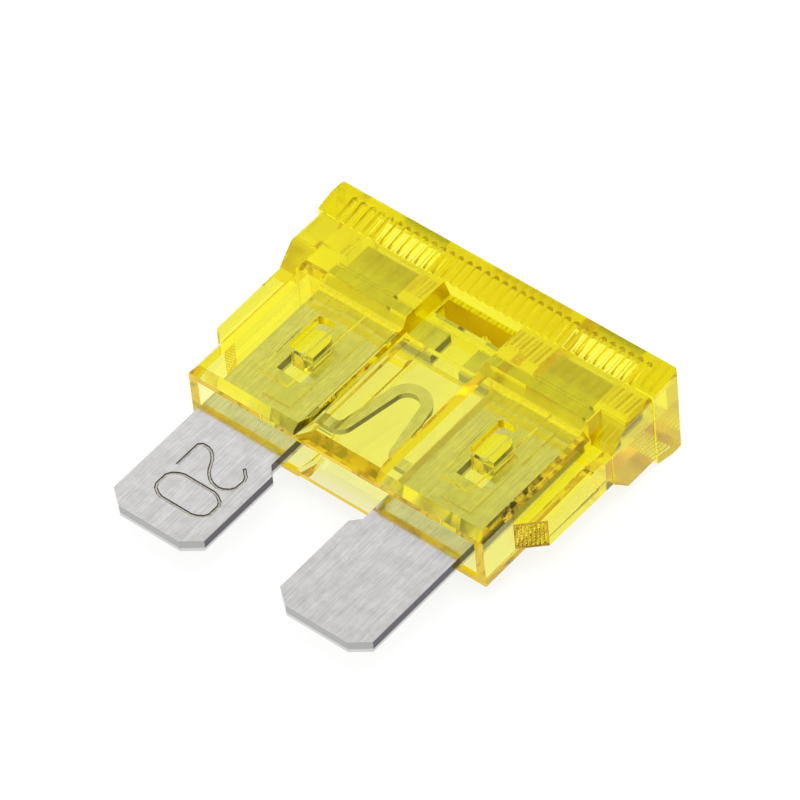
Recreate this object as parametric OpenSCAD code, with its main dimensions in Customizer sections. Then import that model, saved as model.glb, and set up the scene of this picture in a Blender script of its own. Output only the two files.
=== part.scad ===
// Automotive blade fuse: a one-piece transparent moulded housing, open at the
// bottom, over a one-piece stamped element of two blades and the fuse link.
// The fuse lies on its back: X is the width, Y runs from the blade tips to the
// head, Z is the thickness. The origin is under the middle of the bounding box.

/* [Blades] */
// Width over the outer edges of both blades
blade_span = 14.55; // [12:0.05:17.5]
// Width of one blade
blade_w = 5.15; // [4.2:0.05:6.2]
// Thickness of the stamped sheet
blade_t = 0.65; // [0.5:0.05:0.8]
// Length of blade that stands out of the housing
blade_free = 6.9; // [5.5:0.1:8.4]
// Tip corner cut, measured across the blade
tip_cut_w = 0.87; // [0.5:0.01:1.1]
// Tip corner cut, measured along the blade
tip_cut_h = 0.67; // [0.4:0.01:0.9]
// Step of the inner edge from blade to neck
neck_step = 0.45; // [0.2:0.05:0.6]
// Distance of the neck step below the housing
neck_drop = 1.25; // [0.8:0.05:1.6]

/* [Element inside the housing] */
// Distance from the housing's lower end to the top of the broad neck
neck_top = 8.85; // [7.4:0.05:9.4]
// Gap between the two inward tabs
tab_gap = 1.55; // [1.25:0.05:1.85]
// Height of the inward tab
tab_h = 1.45; // [1.2:0.05:1.8]
// Width of the test tab that stands in the probe opening
test_tab_w = 2.9; // [2.2:0.1:3.4]
// Height of the test tab above the neck
test_tab_h = 1.8; // [1.5:0.1:2.0]
// Distance of the test tab from the line of the blade's outer edge
test_tab_inset = 0.35; // [0.2:0.05:0.5]
// Width of the staking slot in each neck
stake_slot_w = 1.4; // [1.1:0.05:1.6]
// Length of the staking slot
stake_slot_l = 2.7; // [2.3:0.1:3.2]
// Distance of the slot's lower end above the housing's lower end
stake_slot_rise = 2.9; // [2.4:0.1:3.4]
// Distance from the blade's outer edge to the middle of the slot
stake_slot_inset = 2.2; // [1.8:0.05:2.6]

/* [Fuse link] */
// Width of the link strip
link_w = 0.55; // [0.4:0.05:0.65]
// Thickness of the link, coined thinner than the sheet
link_t = 0.32; // [0.2:0.02:0.4]
// Radius of the link's upper turn, to the middle of the strip
link_turn_r = 0.9; // [0.75:0.05:1]
// Radius of the link's lower bends, to the middle of the strip
link_foot_r = 0.5; // [0.4:0.05:0.6]
// Splay of each leg from upright
link_splay = 11; // [8:1:13]
// Height of the middle of the link's foot above the housing's lower end
link_foot_rise = 2.05; // [1.7:0.05:2.4]
// Height of the middle of the link's turn above the housing's lower end
link_crest_rise = 5.7; // [4.8:0.05:6.5]

/* [Housing] */
// Height from the housing's lower end to the top of the head
housing_h = 12.05; // [11:0.05:14.4]
// Thickness of the side walls
side_wall = 0.5; // [0.4:0.05:0.6]
// Clearance between a blade's outer edge and the side wall
side_gap = 0.48; // [0.35:0.01:0.58]
// Clearance between the sheet and the front and back walls at the window
face_gap = 0.42; // [0.3:0.02:0.5]
// Thickness of the front and back walls at the window
window_wall = 0.65; // [0.55:0.05:0.8]
// Rise of the pads over the window
pad_rise = 0.36; // [0.3:0.01:0.45]
// Width of the window between the pads, at the pads' faces
window_w = 4.2; // [3.4:0.1:5]
// Taper of each pad's inner side, across
pad_side_run = 0.16; // [0.1:0.02:0.3]
// Distance of the inner slope's foot inside the edge of the window
slope_inset = 0.25; // [0.1:0.05:0.4]
// Width of the inner slope, from the window's wall to the pads' deeper room
slope_w = 0.6; // [0.45:0.05:0.75]
// Opening of the window at its lower end, at each side
window_flare = 0.35; // [0.2:0.05:0.5]
// Length of that opening
window_flare_l = 0.9; // [0.6:0.1:1.2]
// Fall of the window's face over the same length
window_fall = 0.08; // [0.04:0.02:0.14]
// Chamfer along the body's outer edges, across
edge_chamfer = 0.32; // [0.2:0.02:0.45]
// Height of the side wall's outer face
edge_t = 2.76; // [2.4:0.02:2.8]
// Height of the housing's lower end face
mouth_t = 2.86; // [2.82:0.02:3]
// Length of the slanted lower ends of the pads
pad_bevel = 0.4; // [0.2:0.05:0.5]
// Lead-in at the mouth: extra opening at each wall
mouth_flare = 0.34; // [0.26:0.02:0.4]
// Depth of the lead-in at the mouth
mouth_depth = 1; // [0.8:0.1:1.2]
// Rise of the guide ribs inside the front and back walls
rib_rise = 0.14; // [0.08:0.02:0.24]
// Width of a guide rib at its lower end
rib_w = 1.6; // [1.3:0.1:1.9]
// Widening of a guide rib to its upper end
rib_widening = 0.25; // [0.1:0.05:0.4]
// Distance of the ribs' lower ends above the housing's lower end
rib_start = 1.95; // [1.6:0.05:2.3]
// Radius of the moulding's outer corners
corner_r = 0.25; // [0.15:0.05:0.3]

/* [Side flanges and shoulder] */
// Reach of a flange from the side wall
flange_reach = 1.05; // [0.8:0.05:1.25]
// Thickness of the flanges at their feet
flange_t = 1.6; // [1.3:0.05:1.8]
// Growth of the flanges' thickness up to the shoulder
flange_draft = 0.24; // [0.1:0.02:0.3]
// Distance of the flange's foot above the housing's lower end
flange_rise = 2; // [1.6:0.1:2.4]
// Height of the head's underside above the shoulder's underside
shoulder_h = 2.85; // [2.5:0.05:3.2]
// Length of the shoulder's slope from flange to full thickness
shoulder_ramp = 1.1; // [0.9:0.05:1.3]
// Reach of the shoulder beyond the flanges, at each side
shoulder_reach = 0.05; // [0.05:0.05:0.15]
// Rise of the shoulder's faces over the pads
shoulder_rise = 0.3; // [0.2:0.02:0.36]
// Length of the ramp from the pads to the shoulder's faces
pad_ramp = 0.42; // [0.3:0.02:0.55]
// Distance of that ramp's foot below the shoulder's underside
pad_ramp_drop = 0.15; // [0.05:0.05:0.3]

/* [Head] */
// Height of the head
head_h = 1.78; // [1.5:0.01:2]
// Reach of the head beyond the shoulder, at each side
head_reach = 0.15; // [0.1:0.01:0.2]
// Rise of the head's lower edge over the shoulder's faces
head_lip = 0.12; // [0.05:0.01:0.2]
// Rise of the head's faces from the lower to the upper edge
head_draft = 0.32; // [0.25:0.01:0.4]
// Draw-in of the head's ends at the lower edge
head_end_draft = 0.08; // [0.04:0.01:0.12]
// Edge break round the head's top
head_edge = 0.08; // [0.04:0.01:0.12]
// Spacing of the grip grooves
groove_pitch = 0.5; // [0.42:0.02:0.6]
// Radius of the grip grooves
groove_r = 0.2; // [0.14:0.01:0.2]
// Depth of the grip grooves
groove_depth = 0.13; // [0.08:0.01:0.15]
// Plain width at each end of the row of grooves
groove_margin = 1; // [0.8:0.1:1.4]
// Plain height above the grooves
groove_top_margin = 0.34; // [0.25:0.01:0.4]

/* [Openings and pockets] */
// Clearance beside a test tab in its probe opening
probe_gap = 0.2; // [0.15:0.01:0.25]
// Height of a probe opening, front to back
probe_t = 1.3; // [1:0.1:1.6]
// Clearance round the element where it sits tight
seat_gap = 0.05; // [0.03:0.01:0.06]
// Height of the tight slot above the main cavity's ceiling
seat_h = 1.3; // [1.1:0.05:1.4]
// Width of the gate pocket at the top of the window
gate_w = 3.6; // [3:0.1:4]
// Height of the gate pocket
gate_h = 0.9; // [0.75:0.05:1]
// Distance of the gate pocket below the head
gate_drop = 0.3; // [0.2:0.05:0.4]
// Depth of the gate pocket below the window's face
gate_depth = 1.2; // [1:0.05:1.25]
// Lean of the pocket's upper wall, over its depth
gate_lean = 0.3; // [0.2:0.05:0.35]
// Radius of the gate mark on the pocket's floor
gate_mark_r = 0.24; // [0.2:0.02:0.28]
// Height of the gate mark
gate_mark_h = 0.25; // [0.15:0.05:0.35]
// Length of a staking plug, down from the round end of its slot
stake_l = 1.75; // [1.5:0.05:2]
// Width of the punch mark over each staking plug
punch_w = 0.94; // [0.8:0.02:1.1]
// Length of a punch mark
punch_l = 2.2; // [1.8:0.05:2.4]
// Depth of a punch mark
punch_depth = 0.5; // [0.3:0.02:0.52]
// Rise of a punch mark over the round end of its slot
punch_rise = 0.15; // [0.05:0.05:0.25]
// Radius of a punch mark's corners
punch_r = 0.22; // [0.15:0.01:0.3]

/* [Hidden] */
$fn = 32;
// Overlap of joined solids
eps = 0.05;
// Overrun of cuts and trimming shapes
over = 1;
// Widths, outward from the blades
cavity_w = blade_span + 2 * side_gap;
body_w = cavity_w + 2 * side_wall;
flange_w = body_w + 2 * flange_reach;
shoulder_w = flange_w + 2 * shoulder_reach;
head_w = shoulder_w + 2 * head_reach;
// Half thicknesses, outward from the middle plane
seat_z = blade_t / 2 + seat_gap;
cavity_z = blade_t / 2 + face_gap;
room_z = cavity_z + pad_rise;
rib_z = room_z - rib_rise;
window_z = cavity_z + window_wall;
pad_z = window_z + pad_rise;
shoulder_z = pad_z + shoulder_rise;
head_base_z = shoulder_z + head_lip;
head_z = head_base_z + head_draft;
// Levels, upward from the blade tips
mouth_y = blade_free;
top_y = mouth_y + housing_h;
head_y = top_y - head_h;
shoulder_y = head_y - shoulder_h;
neck_y = mouth_y + neck_top;
ceiling_y = neck_y - seat_h;
test_tab_y = neck_y + test_tab_h;
slot_y = mouth_y + stake_slot_rise;
slot_top_y = slot_y + stake_slot_l;
slot_straight_y = slot_top_y - stake_slot_w / 2;
link_foot_y = mouth_y + link_foot_rise;
link_crest_y = mouth_y + link_crest_rise;
// The element across the width
blade_outer = blade_span / 2;
blade_inner = blade_outer - blade_w;
neck_inner = blade_inner + neck_step;
tab_inner = tab_gap / 2;
test_tab_x = blade_outer - test_tab_inset - test_tab_w / 2;
slot_x = blade_outer - stake_slot_inset;

// Places the working frame, blade tips at Y 0 and mid plane at Z 0, on the floor
module to_rest_frame() {
    translate([0, -top_y / 2, head_z]) children();
}

// Does the same at both sides of the middle
module both_sides() {
    for (side = [-1, 1]) scale([side, 1, 1]) children();
}

// Does the same at the front and the back
module both_faces() {
    for (face = [-1, 1]) scale([1, 1, face]) children();
}

// Sweeps an outline drawn in X and Z along Y, from y0 to y1
module along_y(y0, y1) {
    translate([0, y1, 0]) rotate([90, 0, 0]) linear_extrude(y1 - y0) children();
}

// Sweeps an outline drawn in Y and Z along X, half to each side
module along_x(w) {
    rotate([90, 0, 90]) translate([0, 0, -w / 2]) linear_extrude(w) children();
}

// Centred rectangle with round corners
module round_rect(w, t, r) {
    square([w - 2 * r, t], center = true);
    square([w, t - 2 * r], center = true);
    for (x = [-1, 1], z = [-1, 1]) translate([x * (w / 2 - r), z * (t / 2 - r)]) circle(r);
}

// Box from corner to corner
module box(p0, p1) {
    translate(p0) cube(p1 - p0);
}

// Sector of a ring, between two angles less than 180 degrees apart
module ring_sector(r, w, a0, a1) {
    reach = 2 * (r + w);
    middle = (a0 + a1) / 2;
    intersection() {
        difference() {
            circle(r + w / 2);
            circle(r - w / 2);
        }
        polygon([
            [0, 0],
            [reach * cos(a0), reach * sin(a0)],
            [reach * cos(middle), reach * sin(middle)],
            [reach * cos(a1), reach * sin(a1)]
        ]);
    }
}

// The body across its width: a slab with its outer edges chamfered
module body_section() {
    chamfer_z = shoulder_z - pad_z + edge_t / 2;
    polygon([
        [-body_w / 2 + edge_chamfer, -shoulder_z],
        [body_w / 2 - edge_chamfer, -shoulder_z],
        [body_w / 2, -chamfer_z],
        [body_w / 2, chamfer_z],
        [body_w / 2 - edge_chamfer, shoulder_z],
        [-body_w / 2 + edge_chamfer, shoulder_z],
        [-body_w / 2, chamfer_z],
        [-body_w / 2, -chamfer_z]
    ]);
}

// The body seen from the side: slanted lower ends, pads, ramps to the shoulder
module body_side_view() {
    ramp_y = shoulder_y - pad_ramp_drop;
    for (face = [-1, 1]) polygon([
        [mouth_y, 0],
        [mouth_y, face * mouth_t / 2],
        [mouth_y + pad_bevel, face * pad_z],
        [ramp_y, face * pad_z],
        [ramp_y + pad_ramp, face * shoulder_z],
        [head_y + eps, face * shoulder_z],
        [head_y + eps, 0]
    ]);
}

// Trims the body's outer edges below the ramps
module lower_edge_trim() {
    both_sides() both_faces() along_y(mouth_y - over, shoulder_y - pad_ramp_drop) polygon([
        [body_w / 2 + eps, edge_t / 2 - eps * (pad_z - edge_t / 2) / edge_chamfer],
        [body_w / 2 + eps, shoulder_z],
        [body_w / 2 - edge_chamfer, pad_z]
    ]);
}

module body() {
    difference() {
        intersection() {
            along_y(mouth_y, head_y + eps) body_section();
            along_x(body_w + over) body_side_view();
        }
        lower_edge_trim();
    }
}

// Flanges beside the body, thicker towards the top, each with a slanted foot
module flanges() {
    foot_y = mouth_y + flange_rise;
    end_y = shoulder_y + shoulder_ramp / 2;
    foot_z = flange_t / 2;
    end_z = (flange_t + flange_draft) / 2;
    intersection() {
        both_sides() translate([0, 0, -pad_z]) linear_extrude(2 * pad_z) polygon([
            [body_w / 2 - side_wall, foot_y],
            [body_w / 2, foot_y],
            [flange_w / 2, foot_y + flange_reach],
            [flange_w / 2, end_y],
            [body_w / 2 - side_wall, end_y]
        ]);
        along_x(flange_w + over) polygon([
            [foot_y, -foot_z], [end_y, -end_z], [end_y, end_z], [foot_y, foot_z]
        ]);
    }
}

// The wide part under the head, sloping out of the flanges
module shoulder() {
    foot_z = (flange_t + flange_draft) / 2;
    intersection() {
        along_y(shoulder_y, head_y + eps) round_rect(shoulder_w, 2 * shoulder_z, corner_r);
        along_x(shoulder_w + over) polygon([
            [shoulder_y, -foot_z],
            [shoulder_y + shoulder_ramp, -shoulder_z],
            [head_y + eps, -shoulder_z],
            [head_y + eps, shoulder_z],
            [shoulder_y + shoulder_ramp, shoulder_z],
            [shoulder_y, foot_z]
        ]);
    }
}

// Cross-section of the window cut, opened at each side and sunk by the given amounts
module window_section(opened, sunk) {
    side_slope = pad_side_run / pad_rise;
    top = shoulder_z + eps;
    half_top = window_w / 2 + opened + side_slope * (top - pad_z);
    half_floor = window_w / 2 + opened - pad_side_run - side_slope * sunk;
    polygon([
        [-half_floor, window_z - sunk],
        [half_floor, window_z - sunk],
        [half_top, top],
        [-half_top, top]
    ]);
}

// The windows in front and back, running up to the head, opened at the lower end
module windows() {
    flare_y = mouth_y + window_flare_l;
    both_faces() {
        along_y(flare_y, head_y) window_section(0, 0);
        hull() {
            along_y(flare_y, flare_y + eps) window_section(0, 0);
            along_y(mouth_y - eps, mouth_y) window_section(window_flare, window_fall);
        }
    }
}

// The head seen from the side: its faces lean out towards the top
module head_side_view() {
    polygon([
        [head_y, -head_base_z],
        [top_y - head_edge, -head_z],
        [top_y, -head_z + head_edge],
        [top_y, head_z - head_edge],
        [top_y - head_edge, head_z],
        [head_y, head_base_z]
    ]);
}

// The head seen from the front, its ends leaning out and its upper corners cut
module head_front_view() {
    polygon([
        [-head_w / 2 + head_end_draft, head_y],
        [head_w / 2 - head_end_draft, head_y],
        [head_w / 2, top_y - corner_r],
        [head_w / 2 - corner_r, top_y],
        [-head_w / 2 + corner_r, top_y],
        [-head_w / 2, top_y - corner_r]
    ]);
}

module head() {
    intersection() {
        along_y(head_y, top_y) round_rect(head_w, 2 * head_z, corner_r);
        along_x(head_w + over) head_side_view();
        translate([0, 0, -head_z]) linear_extrude(2 * head_z) head_front_view();
    }
}

// One pointed groove, its round side cutting into a head face
module groove() {
    lean = atan(head_draft / head_h);
    length = head_h - groove_top_margin - groove_r;
    translate([0, head_y, head_base_z + groove_r - groove_depth])
        rotate([lean - 90, 0, 0])
            translate([0, 0, -eps])
                rotate_extrude() polygon([
                    [0, 0],
                    [groove_r, 0],
                    [groove_r, length + eps],
                    [0, length + eps + groove_r]
                ]);
}

module grip_grooves() {
    count = floor((head_w - 2 * groove_margin) / groove_pitch);
    both_faces() for (i = [0 : count - 1])
        translate([(i - (count - 1) / 2) * groove_pitch, 0, 0]) groove();
}

// Guide ribs inside the front and back walls, beside the middle of each neck
module guide_ribs() {
    rib_y = mouth_y + rib_start;
    both_faces() both_sides() translate([0, 0, rib_z]) linear_extrude(rib_rise + eps) polygon([
        [slot_x - rib_w / 2, rib_y],
        [slot_x + rib_w / 2, rib_y],
        [slot_x + rib_w / 2 + rib_widening / 2, ceiling_y + eps],
        [slot_x - rib_w / 2 - rib_widening / 2, ceiling_y + eps]
    ]);
}

// Cross-section of the room behind the pads, deeper than behind the windows
module room_section() {
    slope_x = window_w / 2 - slope_inset;
    for (side = [-1, 1], face = [-1, 1]) polygon([
        [side * slope_x, 0],
        [side * slope_x, face * cavity_z],
        [side * (slope_x + slope_w), face * room_z],
        [side * cavity_w / 2, face * room_z],
        [side * cavity_w / 2, 0]
    ]);
}

// The space for the element: flared mouth, rooms behind windows and pads, tight slot
module cavity() {
    difference() {
        union() {
            along_x(cavity_w) polygon([
                [mouth_y - eps, -cavity_z - mouth_flare],
                [mouth_y + mouth_depth, -cavity_z],
                [ceiling_y, -cavity_z],
                [ceiling_y, cavity_z],
                [mouth_y + mouth_depth, cavity_z],
                [mouth_y - eps, cavity_z + mouth_flare]
            ]);
            along_y(mouth_y - eps, ceiling_y) room_section();
        }
        guide_ribs();
    }
    seat_x = blade_outer + seat_gap;
    box([-seat_x, ceiling_y - eps, -seat_z], [seat_x, neck_y + seat_gap, seat_z]);
}

// Openings through the head down to the necks, round each test tab
module probe_openings() {
    both_sides() translate([test_tab_x, 0, 0]) along_y(neck_y + eps, top_y + eps)
        square([test_tab_w + 2 * probe_gap, probe_t], center = true);
}

// The gate pocket under the head, with the gate mark on its floor
module gate_pocket() {
    floor_z = window_z - gate_depth;
    pocket_y = head_y - gate_drop - gate_h;
    difference() {
        along_x(gate_w) polygon([
            [pocket_y, floor_z],
            [pocket_y + gate_h - gate_lean, floor_z],
            [pocket_y + gate_h, window_z],
            [pocket_y + gate_h, window_z + eps],
            [pocket_y, window_z + eps]
        ]);
        translate([0, pocket_y + (gate_h - gate_lean) / 2, floor_z - eps])
            cylinder(h = gate_mark_h + eps, r = gate_mark_r);
    }
}

// Punch marks in the front pads, over the staking plugs
module punch_marks() {
    middle_y = slot_top_y + punch_rise - punch_l / 2;
    both_sides() translate([slot_x, middle_y, pad_z - punch_depth])
        linear_extrude(punch_depth + eps) round_rect(punch_w, punch_l, punch_r);
}

// Plugs pushed out of the front wall down into the element's slots
module staking_plugs() {
    plug_w = stake_slot_w - 2 * seat_gap;
    lower_y = slot_top_y - stake_l;
    both_sides() translate([slot_x, 0, -blade_t / 2]) linear_extrude(blade_t / 2 + rib_z + eps) {
        translate([-plug_w / 2, lower_y]) square([plug_w, slot_straight_y - lower_y]);
        translate([0, slot_straight_y]) circle(plug_w / 2);
    }
}

// Moulded housing
module housing() {
    color([1, 0.86, 0.05, 0.6]) to_rest_frame() {
        difference() {
            union() {
                body();
                flanges();
                shoulder();
                head();
            }
            windows();
            cavity();
            probe_openings();
            gate_pocket();
            punch_marks();
            grip_grooves();
        }
        staking_plugs();
    }
}

// Outline of one blade, its neck, inward tab and test tab
module blade_outline() {
    step_y = mouth_y - neck_drop;
    difference() {
        polygon([
            [blade_inner + tip_cut_w, 0],
            [blade_outer - tip_cut_w, 0],
            [blade_outer, tip_cut_h],
            [blade_outer, neck_y],
            [test_tab_x + test_tab_w / 2, neck_y],
            [test_tab_x + test_tab_w / 2, test_tab_y],
            [test_tab_x - test_tab_w / 2, test_tab_y],
            [test_tab_x - test_tab_w / 2, neck_y],
            [tab_inner, neck_y],
            [tab_inner, neck_y - tab_h],
            [neck_inner, neck_y - tab_h],
            [neck_inner, step_y],
            [blade_inner, step_y - neck_step],
            [blade_inner, tip_cut_h]
        ]);
        stake_slot();
    }
}

// Slot in the neck, square below and round above
module stake_slot() {
    translate([slot_x - stake_slot_w / 2, slot_y]) square([stake_slot_w, slot_straight_y - slot_y]);
    translate([slot_x, slot_straight_y]) circle(stake_slot_w / 2);
}

// One half of the link: half the upper turn, a splayed leg and a foot on the neck
module link_half() {
    // The sectors run a little past their joints
    lap = 0.5;
    turn_x = link_turn_r * cos(link_splay);
    turn_y = link_crest_y - link_turn_r + link_turn_r * sin(link_splay);
    bend_y = link_foot_y + link_foot_r * (1 - sin(link_splay));
    leg_h = turn_y - bend_y;
    bend_x = turn_x + leg_h * tan(link_splay);
    foot_x = bend_x + link_foot_r * cos(link_splay);
    side_x = link_w / 2 * cos(link_splay);
    side_y = link_w / 2 * sin(link_splay);
    translate([0, link_crest_y - link_turn_r])
        ring_sector(link_turn_r, link_w, link_splay, 90 + lap);
    polygon([
        [turn_x - side_x, turn_y - side_y],
        [turn_x + side_x, turn_y + side_y],
        [bend_x + side_x, bend_y + side_y],
        [bend_x - side_x, bend_y - side_y]
    ]);
    translate([foot_x, link_foot_y + link_foot_r])
        ring_sector(link_foot_r, link_w, 180 + link_splay, 270 + lap);
    translate([foot_x, link_foot_y - link_w / 2]) square([neck_inner + eps - foot_x, link_w]);
}

// Stamped element: two blades joined by the thin link
module fuse_element() {
    color([0.78, 0.79, 0.8]) to_rest_frame() {
        translate([0, 0, -blade_t / 2]) linear_extrude(blade_t) both_sides() blade_outline();
        translate([0, 0, -link_t / 2]) linear_extrude(link_t) both_sides() link_half();
    }
}

housing();
fuse_element();
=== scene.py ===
"""Looks of an automotive blade fuse: a clear yellow moulded housing over a stamped zinc element."""

import logging
import math
from collections.abc import Iterator, Sequence
from contextlib import contextmanager
from dataclasses import dataclass, field
from enum import Enum

import bmesh
import bpy
import numpy as np
from mathutils import Matrix, Vector


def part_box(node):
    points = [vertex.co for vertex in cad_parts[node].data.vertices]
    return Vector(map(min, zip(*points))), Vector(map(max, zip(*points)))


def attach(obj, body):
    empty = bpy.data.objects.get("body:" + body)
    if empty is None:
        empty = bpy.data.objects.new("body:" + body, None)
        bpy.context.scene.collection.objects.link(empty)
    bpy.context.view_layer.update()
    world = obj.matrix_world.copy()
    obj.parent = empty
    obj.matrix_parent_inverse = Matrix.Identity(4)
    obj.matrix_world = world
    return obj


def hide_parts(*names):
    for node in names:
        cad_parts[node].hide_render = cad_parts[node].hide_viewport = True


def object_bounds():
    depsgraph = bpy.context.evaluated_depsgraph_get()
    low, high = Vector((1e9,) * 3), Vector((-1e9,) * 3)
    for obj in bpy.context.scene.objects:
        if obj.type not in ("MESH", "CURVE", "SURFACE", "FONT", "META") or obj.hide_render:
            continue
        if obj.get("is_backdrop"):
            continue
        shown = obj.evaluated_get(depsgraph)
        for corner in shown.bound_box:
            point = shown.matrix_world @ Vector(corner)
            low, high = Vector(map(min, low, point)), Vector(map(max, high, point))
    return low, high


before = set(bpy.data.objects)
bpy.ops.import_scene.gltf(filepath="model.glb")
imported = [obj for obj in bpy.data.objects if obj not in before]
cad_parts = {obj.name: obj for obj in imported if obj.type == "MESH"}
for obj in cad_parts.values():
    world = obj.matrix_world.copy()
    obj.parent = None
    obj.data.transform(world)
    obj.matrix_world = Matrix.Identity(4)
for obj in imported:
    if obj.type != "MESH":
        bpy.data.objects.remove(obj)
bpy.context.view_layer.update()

MM = 0.001
BODY = "root"
LOG = logging.getLogger("blade_fuse")


class Change(Enum):
    """What a tool does to a piece."""

    JOIN = "UNION"
    CUT = "DIFFERENCE"


class Solver(Enum):
    """How a piece and a tool are worked together: by exact cuts, or so that a closed mesh stays closed."""

    EXACT = "EXACT"
    CLOSED = "MANIFOLD"


def linear(colour: str) -> tuple[float, float, float, float]:
    """Turns an sRGB hex colour into linear light.

    Each channel c of 0 to 1 is c / 12.92 up to 0.04045, and above that ((c + 0.055) / 1.055) to the
    power 2.4.

    Args:
        colour: six hex digits, such as "f0e10a".

    Returns:
        Red, green, blue and an alpha of 1.
    """
    srgb = np.array([int(colour[i : i + 2], 16) for i in (0, 2, 4)]) / 255
    light = np.where(srgb <= 0.04045, srgb / 12.92, ((srgb + 0.055) / 1.055) ** 2.4)
    return (*map(float, light), 1.0)


def add_node(
    tree: bpy.types.NodeTree,
    kind: str,
    settings: dict[str | int, object] | None = None,
    links: dict[str | int, bpy.types.NodeSocket] | None = None,
) -> bpy.types.Node:
    """Adds one node with its settings and links.

    Args:
        tree: the node tree that gets the node.
        kind: the node's type name without the leading "ShaderNode".
        settings: values by name or number, put on that input socket or, where no socket has the name, on
            the node itself.
        links: output sockets of other nodes, by the name or number of the input that each one feeds.

    Returns:
        The new node.
    """
    node = tree.nodes.new("ShaderNode" + kind)
    for name, value in (settings or {}).items():
        if isinstance(name, int) or name in node.inputs:
            node.inputs[name].default_value = value
        else:
            setattr(node, name, value)
    for name, source in (links or {}).items():
        tree.links.new(source, node.inputs[name])
    return node


def between_tips() -> np.ndarray:
    """The point midway between the blade tips, on the blades' middle plane, in metres."""
    low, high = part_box("fuse_element")
    return np.array([(low[0] + high[0]) / 2, low[1], (low[2] + high[2]) / 2])


def new_material(name: str) -> tuple[bpy.types.Material, bpy.types.NodeTree]:
    """Makes a material with an empty node tree.

    Args:
        name: the material's name.

    Returns:
        The material and its tree.
    """
    material = bpy.data.materials.new(name)
    material.use_nodes = True
    material.node_tree.nodes.clear()
    return material, material.node_tree


def stretched_noise(
    tree: bpy.types.NodeTree,
    pitch_mm: Sequence[float],
    detail: float,
    roughness: float = 0.5,
) -> bpy.types.NodeSocket:
    """Noise on Object coordinates whose patches have a real size along each axis.

    Args:
        tree: the node tree.
        pitch_mm: mean size of a patch along X, Y and Z, in millimetres.
        detail: number of finer octaves.
        roughness: how much the finer octaves count.

    Returns:
        The noise's value socket, about 0.5 on average.
    """
    place = add_node(tree, "TexCoord")
    scale = tuple(1.0 / (pitch * MM) for pitch in pitch_mm)
    size = add_node(tree, "Mapping", {"Scale": scale}, {"Vector": place.outputs["Object"]})
    noise = add_node(
        tree,
        "TexNoise",
        {"Scale": 1.0, "Detail": detail, "Roughness": roughness},
        {"Vector": size.outputs["Vector"]},
    )
    return noise.outputs[0]


@dataclass(frozen=True)
class Region:
    """A box, level with the axes, in metres."""

    middle: tuple[float, float, float]
    half: tuple[float, float, float]

    def factor(self, tree: bpy.types.NodeTree) -> bpy.types.NodeSocket:
        """Tells inside from outside, as the product of one test for each axis.

        Args:
            tree: the node tree.

        Returns:
            A factor of 1 inside the box and 0 outside.
        """
        place = add_node(tree, "TexCoord")
        axes = add_node(tree, "SeparateXYZ", links={"Vector": place.outputs["Object"]})
        tests = [
            add_node(tree, "Math", {"operation": "COMPARE", 1: middle, 2: half}, {0: axes.outputs[i]})
            for i, (middle, half) in enumerate(zip(self.middle, self.half))
        ]
        product = tests[0]
        for test in tests[1:]:
            product = add_node(
                tree, "Math", {"operation": "MULTIPLY"}, {0: product.outputs[0], 1: test.outputs[0]}
            )
        return product.outputs[0]


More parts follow.
